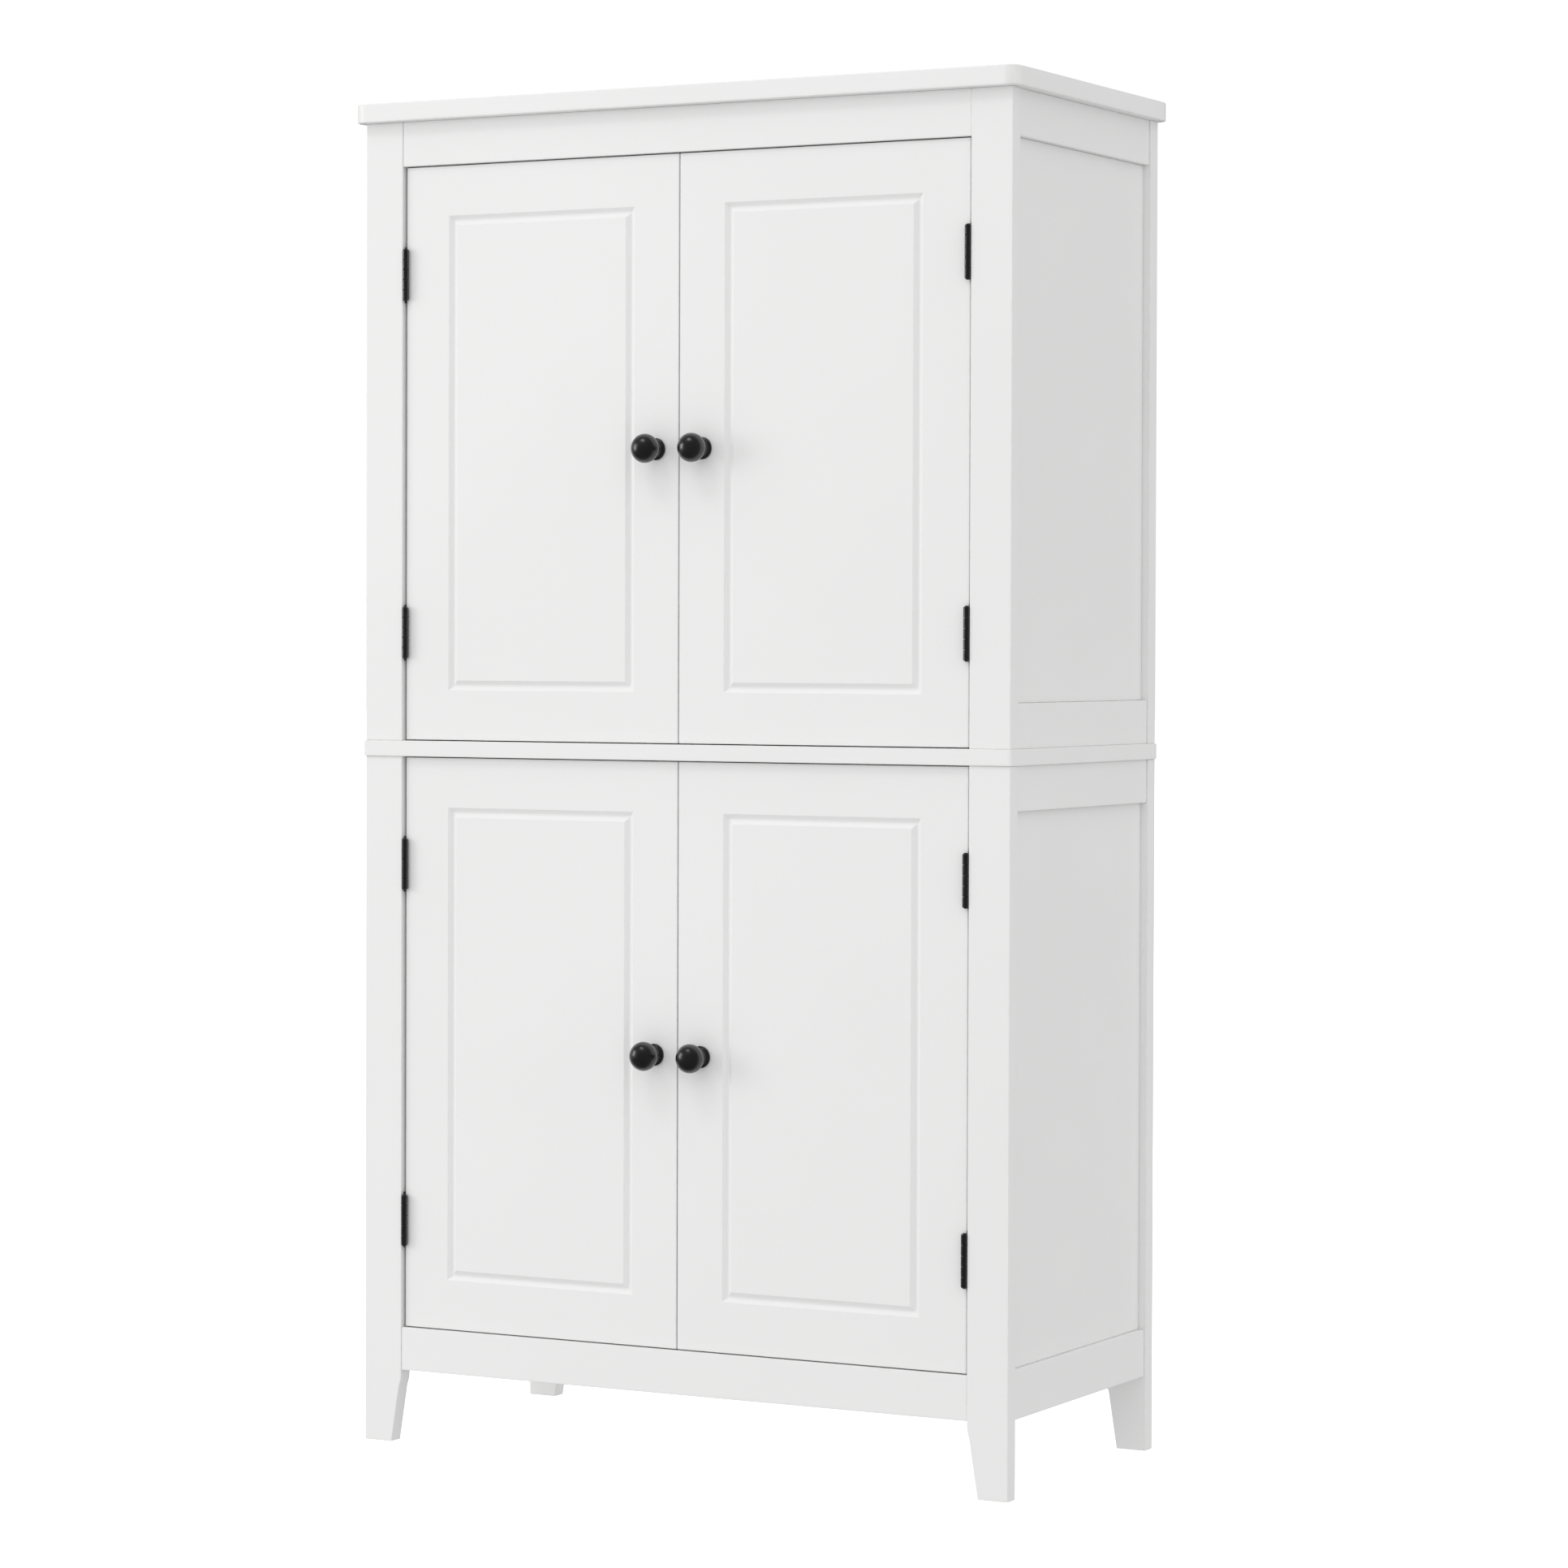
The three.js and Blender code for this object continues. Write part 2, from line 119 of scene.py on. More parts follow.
leaf_low, leaf_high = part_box("hinge_frame_leaf_upper_right_top")
LEAF_HEIGHT = leaf_high.z - leaf_low.z

# ---- Feet ----
FOOT_WIDTH = 0.030
FOOT_CURVE_TOP = 0.066
FOOT_CURVE_BOTTOM = 0.054

# ---- Catches and shelf pins ----
STRIKE_CORNER = 0.0020
POLE_LEVEL = 0.0022
POLE_HALF_THICK = 0.0006
POLE_LENGTH = 0.004
POLE_PROUD = 0.0002
SHELF_PIN_RADIUS = 0.0025
SHELF_PIN_COLLAR = 0.0040
SHELF_PIN_REACH = 0.0092
SHELF_PIN_INSET = 0.035


# ======== Materials ========
def new_material(name, roughness, metallic=0.0):
    material = bpy.data.materials.new(name)
    material.use_nodes = True
    shader = material.node_tree.nodes["Principled BSDF"]
    shader.inputs["Roughness"].default_value = roughness
    shader.inputs["Metallic"].default_value = metallic
    return material, material.node_tree, shader


def noise(tree, vector, scale, detail=2.0, rough=0.5):
    node = tree.nodes.new("ShaderNodeTexNoise")
    node.inputs["Scale"].default_value = scale
    node.inputs["Detail"].default_value = detail
    node.inputs["Roughness"].default_value = rough
    tree.links.new(vector, node.inputs["Vector"])
    return node.outputs["Fac"]


def remap(tree, value, low, high, from_low=0.3, from_high=0.7):
    node = tree.nodes.new("ShaderNodeMapRange")
    node.inputs["From Min"].default_value = from_low
    node.inputs["From Max"].default_value = from_high
    node.inputs["To Min"].default_value = low
    node.inputs["To Max"].default_value = high
    tree.links.new(value, node.inputs["Value"])
    return node.outputs["Result"]


def feed(tree, socket, value):
    """Sets a socket to a plain number, or links it to another node's output."""
    if isinstance(value, (int, float)):
        socket.default_value = value
    else:
        tree.links.new(value, socket)


def math_node(tree, operation, first, second):
    node = tree.nodes.new("ShaderNodeMath")
    node.operation = operation
    feed(tree, node.inputs[0], first)
    feed(tree, node.inputs[1], second)
    return node.outputs[0]


def mix_value(tree, factor, first, second):
    node = tree.nodes.new("ShaderNodeMix")
    feed(tree, node.inputs[0], factor)
    feed(tree, node.inputs[2], first)
    feed(tree, node.inputs[3], second)
    return node.outputs[0]


def mix_colour(tree, factor, first, second):
    node = tree.nodes.new("ShaderNodeMix")
    node.data_type = "RGBA"
    tree.links.new(factor, node.inputs["Factor"])
    for socket, value in ((node.inputs[6], first), (node.inputs[7], second)):
        if isinstance(value, tuple):
            socket.default_value = (*value, 1.0)
        else:
            tree.links.new(value, socket)
    return node.outputs[2]


def bump(tree, height, distance, strength, normal=None):
    node = tree.nodes.new("ShaderNodeBump")
    node.inputs["Distance"].default_value = distance
    node.inputs["Strength"].default_value = strength
    tree.links.new(height, node.inputs["Height"])
    if normal is not None:
        tree.links.new(normal, node.inputs["Normal"])
    return node.outputs["Normal"]


def object_vector(tree, scale=(1.0, 1.0, 1.0)):
    place = tree.nodes.new("ShaderNodeTexCoord")
    stretch = tree.nodes.new("ShaderNodeMapping")
    stretch.inputs["Scale"].default_value = scale
    tree.links.new(place.outputs["Object"], stretch.inputs["Vector"])
    return stretch.outputs["Vector"]


def painted_edge_light_mask(tree, vector, scale):
    """Broken-up painted light that keeps to the rounded edges, where the mesh holds a painted edge light
    value: painted shade on the white paint, painted highlight on the black coat.
    """
    attribute = tree.nodes.new("ShaderNodeAttribute")
    attribute.attribute_name = "painted_edge_light"
    patches = remap(tree, noise(tree, vector, scale, 4.0, 0.6), 0.0, 1.0, 0.42, 0.62)
    return math_node(tree, "MULTIPLY", attribute.outputs["Fac"], patches)


def painted_board(name, light, shade, edge_light_tint, gloss, streak):
    """Sprayed satin paint on board: drifting tone, fine orange peel, faint rolled streaks, and painted shade
    darkening the rounded edges.
    """
    material, tree, shader = new_material(name, gloss)
    plain = object_vector(tree)
    drift = remap(tree, noise(tree, plain, 2.6, 3.0), 0.0, 1.0)
    tone = mix_colour(tree, drift, light, shade)
    speckle = remap(tree, noise(tree, plain, 620.0, 2.0), 0.0, 0.35)
    tone = mix_colour(tree, speckle, tone, shade)
    # Painted shade: the rounded edges are mixed part way toward a darker colour, in broken patches.
    mask = painted_edge_light_mask(tree, plain, 75.0)
    edge_light_share = math_node(tree, "MULTIPLY", mask, 0.55)
    tree.links.new(mix_colour(tree, edge_light_share, tone, edge_light_tint), shader.inputs["Base Color"])
    patches = remap(tree, noise(tree, plain, 9.0, 4.0), gloss - 0.05, gloss + 0.06)
    fine = remap(tree, noise(tree, plain, 300.0, 2.0), -0.02, 0.02)
    rough = math_node(tree, "ADD", patches, fine)
    rough = math_node(tree, "ADD", rough, math_node(tree, "MULTIPLY", mask, 0.12))
    tree.links.new(rough, shader.inputs["Roughness"])
    peel = bump(tree, noise(tree, plain, 330.0, 2.0), 0.00010, 0.22)
    rolled = bump(tree, noise(tree, object_vector(tree, streak), 140.0, 2.0), 0.00008, 0.12, peel)
    tree.links.new(rolled, shader.inputs["Normal"])
    shader.inputs["Specular IOR Level"].default_value = 0.4
    return material


def black_coat(name, gloss):
    """Satin black coat on metal: fine grain, handling smudges in the gloss, and a painted highlight
    lightening the rounded edges.
    """
    material, tree, shader = new_material(name, gloss)
    plain = object_vector(tree)
    drift = remap(tree, noise(tree, plain, 60.0, 3.0), 0.0, 1.0)
    tone = mix_colour(tree, drift, (0.0050, 0.0050, 0.0053), (0.0090, 0.0089, 0.0087))
    # Painted highlight: the rounded edges are mixed part way toward a lighter grey, in broken patches.
    mask = painted_edge_light_mask(tree, plain, 500.0)
    edge_light_share = math_node(tree, "MULTIPLY", mask, 0.35)
    tree.links.new(mix_colour(tree, edge_light_share, tone, (0.06, 0.06, 0.062)), shader.inputs["Base Color"])
    smudge = remap(tree, noise(tree, plain, 150.0, 4.0), gloss - 0.05, gloss + 0.08)
    tree.links.new(smudge, shader.inputs["Roughness"])
    grain = bump(tree, noise(tree, plain, 1800.0, 2.0), 0.00004, 0.15)
    tree.links.new(grain, shader.inputs["Normal"])
    shader.inputs["Specular IOR Level"].default_value = 0.8
    shader.inputs["Coat Weight"].default_value = 0.4
    shader.inputs["Coat Roughness"].default_value = 0.22
    return material


def moulded_plastic(name, light, shade, gloss):
    """Moulded plastic with a spark-eroded grain and slightly uneven tone."""
    material, tree, shader = new_material(name, gloss)
    plain = object_vector(tree)
    drift = remap(tree, noise(tree, plain, 70.0, 3.0), 0.0, 1.0)
    tree.links.new(mix_colour(tree, drift, light, shade), shader.inputs["Base Color"])
    patches = remap(tree, noise(tree, plain, 240.0, 3.0), gloss - 0.06, gloss + 0.06)
    tree.links.new(patches, shader.inputs["Roughness"])
    grain = bump(tree, noise(tree, plain, 2400.0, 2.0), 0.00005, 0.25)
    tree.links.new(grain, shader.inputs["Normal"])
    return material


WHITE = (0.868, 0.868, 0.866)
WHITE_SHADE = (0.846, 0.846, 0.843)
# Painted shade: the darker colour mixed into the white paint along the rounded edges.
WHITE_EDGE_SHADE = (0.780, 0.775, 0.762)
upright_paint = painted_board("paint_upright", WHITE, WHITE_SHADE, WHITE_EDGE_SHADE, 0.40, (1.0, 1.0, 0.06))
level_paint = painted_board("paint_level", WHITE, WHITE_SHADE, WHITE_EDGE_SHADE, 0.40, (0.06, 1.0, 1.0))
depth_paint = painted_board("paint_depth", WHITE, WHITE_SHADE, WHITE_EDGE_SHADE, 0.40, (1.0, 0.06, 1.0))
# The third colour is painted shade, mixed into the back panels along their rounded edges.
back_face = painted_board("paint_back", (0.80, 0.80, 0.79), (0.77, 0.77, 0.76), (0.66, 0.62, 0.55), 0.55,
                          (1.0, 1.0, 0.2))
knob_coat = black_coat("black_gloss", 0.32)
hinge_coat = black_coat("black_satin", 0.32)
white_plastic = moulded_plastic("white_plastic", (0.80, 0.80, 0.79), (0.76, 0.76, 0.75), 0.45)


# ======== Mesh building ========
def finish_piece(name, mesh_data, material, body, replaced=(), weighted=True):
    obj = bpy.data.objects.new(name, mesh_data)
    bpy.context.scene.collection.objects.link(obj)
    mesh_data.materials.append(material)
    mesh_data.shade_smooth()
    if weighted:
        modifier = obj.modifiers.new("flat_faces_stay_flat", "WEIGHTED_NORMAL")
        modifier.weight = 90
    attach(obj, body)
    if replaced:
        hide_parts(*replaced)
    return obj


def close_mesh(bm, name):
    bmesh.ops.remove_doubles(bm, verts=bm.verts, dist=1e-7)
    bmesh.ops.recalc_face_normals(bm, faces=bm.faces)
    data = bpy.data.meshes.new(name)
    bm.to_mesh(data)
    bm.free()
    return data


def inset_corners(outline, inset):
    """Corners of the outline moved inwards by inset, each with the directions to its two neighbours."""
    count = len(outline)
    moved = []
    for i in range(count):
        here = Vector(outline[i][:2])
        before = (here - Vector(outline[i - 1][:2])).normalized()
        after = (Vector(outline[(i + 1) % count][:2]) - here).normalized()
        normal_before = Vector((-before.y, before.x))
        normal_after = Vector((-after.y, after.x))
        mitre = (normal_before + normal_after) / (1.0 + normal_before.dot(normal_after))
        moved.append((here + mitre * inset, -before, after, outline[i][2]))
    return moved


def ring(outline, inset, corner):
    """One loop of points round the outline, moved inwards, with its marked corners rounded.

    Each point also says how exposed it is: 1 on a rounded corner, 0 elsewhere.
    """
    points = []
    radius = max(corner - inset, TINY)
    reach = max(corner + EDGE_BAND - inset, radius + TINY)
    for place, to_last, to_next, is_round in inset_corners(outline, inset):
        if not is_round:
            points.append((place, 0.0))
            continue
        points.append((place + to_last * reach, 0.0))
        centre = place + (to_last + to_next) * radius
        for step in range(ARC_STEPS + 1):
            angle = math.pi / 2 * step / ARC_STEPS
            offset = to_next * math.cos(angle) + to_last * math.sin(angle)
            points.append((centre - offset * radius, 1.0))
        points.append((place + to_next * reach, 0.0))
    return points


def eased_side(ease, band, thick):
    """Stations across one slab from its low face to its high face, as (inset, depth, painted edge light);
    the last value sets the painted shade on white paint and the painted highlight on black coat.
    """
    low = [(ease + band, 0.0, 0.0), (ease, 0.0, 0.5)]
    for step in range(1, ARC_STEPS):
        angle = math.pi / 2 * step / ARC_STEPS
        low.append((ease * (1 - math.sin(angle)), ease * (1 - math.cos(angle)), 1.0))
    low.append((0.0, ease, 0.5))
    low.append((0.0, min(ease + band, thick * 0.45), 0.0))
    high = [(inset, thick - depth, painted_edge_light) for inset, depth, painted_edge_light in reversed(low)]
    return low + high


def bridge(bm, lower, upper, sides):
    """Joins two loops with faces. A loop of a single point gives triangles."""
    for i in range(sides):
        j = (i + 1) % sides
        corners = [lower[i % len(lower)], lower[j % len(lower)]]
        corners += [upper[j % len(upper)], upper[i % len(upper)]]
        unique = list(dict.fromkeys(corners))
        if len(unique) > 2:
            bm.faces.new(unique)


AXIS_ORDER = {
    "x": lambda u, v, w: (w, u, v),
    "y": lambda u, v, w: (u, w, v),
    "z": lambda u, v, w: (u, v, w),
}


def slab_mesh(name, outline, axis, start, stations, corner):
    """Sweeps loops of the outline through the stations and closes both ends."""
    bm = bmesh.new()
    painted_edge_light_layer = bm.verts.layers.float.new("painted_edge_light")
    loops = []
    for inset, depth, painted_edge_light in stations:
        loop = []
        for place, exposed in ring(outline, inset, corner):
            vert = bm.verts.new(AXIS_ORDER[axis](place.x, place.y, start + depth))
            # Rounded plan corners on the sides also get painted edge light: painted shade on white paint,
            # painted highlight on black coat.
            on_side = inset < EASE * 0.5
            vert[painted_edge_light_layer] = max(painted_edge_light, 0.8 * exposed if on_side else 0.0)
            loop.append(vert)
        loops.append(loop)
    for lower, upper in zip(loops, loops[1:]):
        bridge(bm, lower, upper, len(lower))
    bm.faces.new(loops[0])
    bm.faces.new(loops[-1])
    return close_mesh(bm, name)


def rectangle(low_u, low_v, high_u, high_v):
    return [(low_u, low_v, True), (high_u, low_v, True), (high_u, high_v, True), (low_u, high_v, True)]


PLANE = {"x": (1, 2, 0), "y": (0, 2, 1), "z": (0, 1, 2)}


def board(node, axis, material, body="carcass", ease=EASE, corner=PLAN_CORNER):
    """An eased board that fills a CAD node's box, with its thickness along the axis."""
    low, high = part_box(node)
    u, v, w = PLANE[axis]
    outline = rectangle(low[u], low[v], high[u], high[v])
    thick = high[w] - low[w]
    band = min(EDGE_BAND, thick * 0.2)
    stations = eased_side(min(ease, thick * 0.3), band, thick)
    data = slab_mesh(node + "_visual", outline, axis, low[w], stations, corner)
    return finish_piece(node + "_visual", data, material, body, (node,))


def lathe_mesh(name, profile, origin, direction, sides, painted_edge_light=None):
    """Turns a profile of (radius, reach) points, on the axis at both ends, about a line."""
    bm = bmesh.new()
    painted_edge_light_layer = bm.verts.layers.float.new("painted_edge_light")
    turn = Vector((0, 0, 1)).rotation_difference(Vector(direction)).to_matrix()
    loops = []
    for index, (radius, reach) in enumerate(profile):
        loop = []
        for side in range(sides if radius > 1e-7 else 1):
            angle = 2 * math.pi * side / sides
            local = Vector((radius * math.cos(angle), radius * math.sin(angle), reach))
            vert = bm.verts.new(Vector(origin) + turn @ local)
            vert[painted_edge_light_layer] = painted_edge_light[index] if painted_edge_light else 0.0
            loop.append(vert)
        loops.append(loop)
    for lower, upper in zip(loops, loops[1:]):
        bridge(bm, lower, upper, sides)
    return close_mesh(bm, name)


def join_meshes(name, parts):
    """Puts several closed meshes into one."""
    bm = bmesh.new()
    for part in parts:
        bm.from_mesh(part)
        bpy.data.meshes.remove(part)
    data = bpy.data.meshes.new(name)
    bm.to_mesh(data)
    bm.free()
    return data


# ======== Boards of the two units ========
board("mid_board", "z", level_paint, corner=0.0020)
board("top_board", "z", level_paint, ease=0.0012, corner=0.0100)
board("bottom_board", "z", level_paint)
for name in ("front_apron", "front_rail", "rear_rail"):
    board(name, "y", level_paint)
for unit in UNITS:
    board(f"shelf_{unit}", "z", level_paint)
    board(f"back_panel_{unit}", "y", back_face, ease=0.0004)
    for word in SIDES:
        board(f"side_panel_{unit}_{word}", "x", upright_paint)
        board(f"side_head_{unit}_{word}", "x", depth_paint)
        board(f"side_sill_{unit}_{word}", "x", depth_paint)


def leg_outline(low, high, sign, tapered):
    """Front outline of a leg board, anticlockwise; a lower leg's foot tapers on its inner edge."""
    outer, inner = (high.x, low.x) if sign > 0 else (low.x, high.x)
    if not tapered:
        return rectangle(low.x, low.z, high.x, high.z)
    foot = outer - sign * FOOT_WIDTH
    bend = inner + sign * (FOOT_CURVE_TOP - FOOT_CURVE_BOTTOM) * 0.2
    middle = (FOOT_CURVE_TOP + FOOT_CURVE_BOTTOM) / 2
    points = [(outer, high.z, True), (inner, high.z, True)]
    for step in range(7):
        t = step / 6
        x = (1 - t) ** 2 * inner + 2 * t * (1 - t) * inner + t * t * bend
        z = (1 - t) ** 2 * FOOT_CURVE_TOP + 2 * t * (1 - t) * middle + t * t * FOOT_CURVE_BOTTOM
        points.append((x, z, False))
    points.extend([(foot, low.z, True), (outer, low.z, True)])
    return points if sign > 0 else points[::-1]


for unit in UNITS:
    for end in ("front", "rear"):
        for word, sign in SIDES.items():
            node = f"leg_{unit}_{end}_{word}"
            low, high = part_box(node)
            outline = leg_outline(low, high, sign, unit == "lower")
            stations = eased_side(EASE, EDGE_BAND, high.y - low.y)
            data = slab_mesh(node + "_visual", outline, "y", low.y, stations, PLAN_CORNER)
            finish_piece(node + "_visual", data, upright_paint, "carcass", (node,))


# ======== Doors ========
def groove_stations(face):
    """Stations over a routed groove: eased lip, straight wall, narrow floor, and back.

    Each is (inset from the door's edge, depth from its face, painted edge light); the lip gets painted
    shade.
    """
    run = (GROOVE_WIDTH - GROOVE_FLOOR) / 2
    slope = math.atan2(GROOVE_DEPTH, run)
    half = [(-GROOVE_ARRIS * 3, 0.0, 0.0), (-GROOVE_ARRIS, 0.0, 0.2)]
    for step in range(1, ARC_STEPS + 1):
        angle = slope * step / ARC_STEPS
        reach = GROOVE_ARRIS * math.sin(angle) / math.sin(slope)
        drop = GROOVE_ARRIS * (1 - math.cos(angle)) / math.sin(slope)
        half.append((reach - GROOVE_ARRIS, drop, 0.7))
    lip_drop = half[-1][1]
    for step in range(1, GROOVE_STEPS + 1):
        share = step / GROOVE_STEPS
        half.append((run * share * 0.9, lip_drop + (GROOVE_DEPTH * 0.93 - lip_drop) * share, 0.0))
    half.append((run, GROOVE_DEPTH * 0.99, 0.0))
    half.append((GROOVE_WIDTH / 2, GROOVE_DEPTH, 0.0))
    back = [(GROOVE_WIDTH - across, depth, painted_edge_light) for across, depth, painted_edge_light in reversed(half[:-1])]
    return [(GROOVE_INSET + across, face + depth, painted_edge_light) for across, depth, painted_edge_light in half + back]


for unit in UNITS:
    for word in SIDES:
        node = f"door_{unit}_{word}"
        low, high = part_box(node)
        thick = high.y - low.y
        outline = rectangle(low.x, low.z, high.x, high.z)
        stations = groove_stations(0.0)[::-1] + eased_side(EASE, EDGE_BAND, thick)
        data = slab_mesh(node + "_visual", outline, "y", low.y, stations, PLAN_CORNER)
        finish_piece(node + "_visual", data, upright_paint, node, (node,))


# ======== Knobs ========
def knob_profile():
    """Thin round flange, waisted neck and a slightly flattened ball, as (radius, reach)."""
    profile = [(0.0, 0.0), (KNOB_FLANGE - FLANGE_EASE, 0.0), (KNOB_FLANGE, FLANGE_EASE)]
    profile.append((KNOB_FLANGE, FLANGE_EDGE))
    for step in range(1, 5):
        angle = math.pi / 2 * step / 4
        radius = KNOB_FLANGE - FLANGE_ROUND + FLANGE_ROUND * math.cos(angle)
        profile.append((radius, FLANGE_EDGE + FLANGE_ROUND * math.sin(angle)))
    start = math.asin(KNOB_NECK / KNOB_RADIUS)
    neck_end = KNOB_CENTRE - KNOB_HALF_DEPTH * math.cos(start)
    for step in range(9):
        t = step / 8
        flare = (1 - t) ** 2.4 * NECK_FLARE
        profile.append((KNOB_NECK + flare, NECK_START + (neck_end - NECK_START) * t))
    for step in range(1, KNOB_BALL_STEPS):
        angle = math.pi - start - (math.pi - start) * step / KNOB_BALL_STEPS
        profile.append((KNOB_RADIUS * math.sin(angle), KNOB_CENTRE + KNOB_HALF_DEPTH * math.cos(angle)))
    profile.append((0.0, KNOB_CENTRE + KNOB_HALF_DEPTH))
    return profile


for unit in UNITS:
    for word in SIDES:
        node = f"knob_{unit}_{word}"
        low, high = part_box(node)
        base = ((low.x + high.x) / 2, high.y, (low.z + high.z) / 2)
        profile = knob_profile()
        # Painted highlight: the flange's rim gets painted edge light, which lightens it on the black coat.
        painted_edge_light = [0.7 if 2 <= index <= 7 else 0.0 for index in range(len(profile))]
        data = lathe_mesh(node + "_visual", profile, base, (0, -1, 0), KNOB_SIDES, painted_edge_light)
        finish_piece(node + "_visual", data, knob_coat, f"door_{unit}_{word}", (node,), False)


# ======== Hinges ========
def tube_mesh(name, x, y, low_z, high_z, outer, inner):
    """A knuckle: a short tube with eased rims."""
    rim = KNUCKLE_RIM
    length = high_z - low_z
    bm = bmesh.new()
    painted_edge_light_layer = bm.verts.layers.float.new("painted_edge_light")
    # Painted highlight: the eased rims get painted edge light, which lightens them on the black coat.
    section = [(inner, 0.0, 0), (outer - rim, 0.0, 1), (outer, rim, 1), (outer, rim * 3, 0),
               (outer, length - rim * 3, 0), (outer, length - rim, 1), (outer - rim, length, 1),
               (inner, length, 0)]
    loops = []
    for radius, reach, edge_light_tint in section:
        loop = []
        for side in range(ROUND_SIDES):
            angle = 2 * math.pi * side / ROUND_SIDES
            vert = bm.verts.new((x + radius * math.cos(angle), y + radius * math.sin(angle), low_z + reach))
            vert[painted_edge_light_layer] = edge_light_tint
            loop.append(vert)
        loops.append(loop)
    for lower, upper in zip(loops, loops[1:] + loops[:1]):
        bridge(bm, lower, upper, ROUND_SIDES)
    return close_mesh(bm, name)


def leaf_outline(near, far, notch, middle, own):
    """Side outline (y, z) of a leaf whose near edge steps back beside the other leaf's knuckles."""
    half = LEAF_HEIGHT / 2
    pitch = BARREL_LENGTH / KNUCKLES
    edge = [(notch, half)]
    for index in reversed(range(KNUCKLES)):
        if index % 2 != own:
            continue
        top = -BARREL_LENGTH / 2 + (index + 1) * pitch - KNUCKLE_GAP / 2
        low = top - pitch + KNUCKLE_GAP
        edge.extend([(notch, top), (near, top), (near, low), (notch, low)])
    edge.append((notch, -half))
    outline = [(y, middle + z, False) for y, z in edge]
    outline.extend([(far, middle - half, True), (far, middle + half, True)])
    return outline


def screw_mesh(name, centre, facing):
    """A countersunk head with a cross recess, seen on the face of a leaf."""
    bm = bmesh.new()
    painted_edge_light_layer = bm.verts.layers.float.new("painted_edge_light")
    turn = Vector((0, 0, 1)).rotation_difference(Vector(facing)).to_matrix()
    radii = (0.0, 0.16, 0.34, 0.50, 0.66, 0.84, 0.97, 1.0, 0.55)
    loops = []
    for index, share in enumerate(radii):
        loop = []
        for side in range(ROUND_SIDES if share > 0 else 1):
            angle = 2 * math.pi * side / ROUND_SIDES
            x, y = share * math.cos(angle), share * math.sin(angle)
            in_cross = min(abs(x), abs(y)) < 0.13 and share < 0.6
            drop = 0.0007 * (1 - share) if in_cross else 0.0
            height = 0.00012 * (1 - share * share) - drop
            if index == 7:
                height = -0.00010
            if index == 8:
                height = -0.0009
            local = Vector((x * SCREW_RADIUS, y * SCREW_RADIUS, height))
            vert = bm.verts.new(Vector(centre) + turn @ local)
            # The cross recess and the rim get painted edge light, which lightens them on the black coat.
            vert[painted_edge_light_layer] = 0.8 if in_cross or index == 6 else 0.0
            loop.append(vert)
        loops.append(loop)
    for lower, upper in zip(loops, loops[1:]):
        bridge(bm, lower, upper, ROUND_SIDES)
    bm.faces.new(loops[-1])
    return close_mesh(bm, name)


def pin_profile():
    """A hinge pin with a domed head at each end, about its middle."""
    half = BARREL_LENGTH / 2
    shank = PIN_RADIUS - PIN_CLEAR
    upper = [(shank, half - 0.0002), (PIN_HEAD_RADIUS, half), (0.0019, half + 0.0006),
             (0.0011, half + 0.0011), (0.0, half + PIN_HEAD_REACH)]
    return [(radius, -reach) for radius, reach in reversed(upper)] + upper


for unit in UNITS:
    for word, sign in SIDES.items():
        for place in PLACES:
            tag = f"{unit}_{word}_{place}"
            joint = next(j for j in frame["joints"] if j["name"] == f"{unit}_{word}_door_hinge")
            axis_x, axis_y, _ = joint["pos_m"]
            pitch = BARREL_LENGTH / KNUCKLES
            for kind, own, body in (("frame", 0, "carcass"), ("door", 1, f"door_{unit}_{word}")):
                node = f"hinge_{kind}_leaf_{tag}"
                low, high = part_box(node)
                middle = (low.z + high.z) / 2
                if kind == "frame":
                    leaf_near, leaf_notch = axis_y + FRAME_LEAF_NEAR, axis_y + FRAME_LEAF_NOTCH
                    leaf_x = axis_x + sign * (BARREL_RADIUS + TOUCH_GAP)
                else:
                    leaf_near, leaf_notch = axis_y + DOOR_LEAF_NEAR, axis_y + BARREL_RADIUS + FACE_CLEAR
                    leaf_x = axis_x + sign * (BARREL_RADIUS + TOUCH_GAP - DOOR_SIDE_GAP + LEAF_THICK)
                outline = leaf_outline(leaf_near, high.y, leaf_notch, middle, own)
                start = min(leaf_x, leaf_x - sign * LEAF_THICK)
                stations = eased_side(METAL_EASE, METAL_BAND, LEAF_THICK)
                parts = [slab_mesh("leaf", outline, "x", start, stations, LEAF_CORNER)]
                for index in range(KNUCKLES):
                    if index % 2 != own:
                        continue
                    low_z = middle - BARREL_LENGTH / 2 + index * pitch + KNUCKLE_GAP / 2
                    high_z = low_z + pitch - KNUCKLE_GAP
                    knuckle = tube_mesh("knuckle", axis_x, axis_y, low_z, high_z, BARREL_RADIUS, PIN_RADIUS)
                    parts.append(knuckle)
                if kind == "frame":
                    origin = (axis_x, axis_y, middle)
                    parts.append(lathe_mesh("pin", pin_profile(), origin, (0, 0, 1), ROUND_SIDES))
                data = join_meshes(node + "_visual", parts)
                finish_piece(node + "_visual", data, hinge_coat, body, (node,))
                facing = (-sign, 0, 0) if kind == "frame" else (sign, 0, 0)
                face_x = leaf_x - sign * LEAF_THICK if kind == "frame" else leaf_x
                screws = []
                for step in (-1, 0, 1):
                    screw_y = axis_y + BARREL_RADIUS + SCREW_REACH
                    centre = (face_x, screw_y, middle + step * SCREW_SPACING)
                    screws.append(screw_mesh("screw", centre, facing))
                data = join_meshes(f"screws_{kind}_{tag}", screws)
                finish_piece(f"screws_{kind}_{tag}", data, hinge_coat, body, (), False)


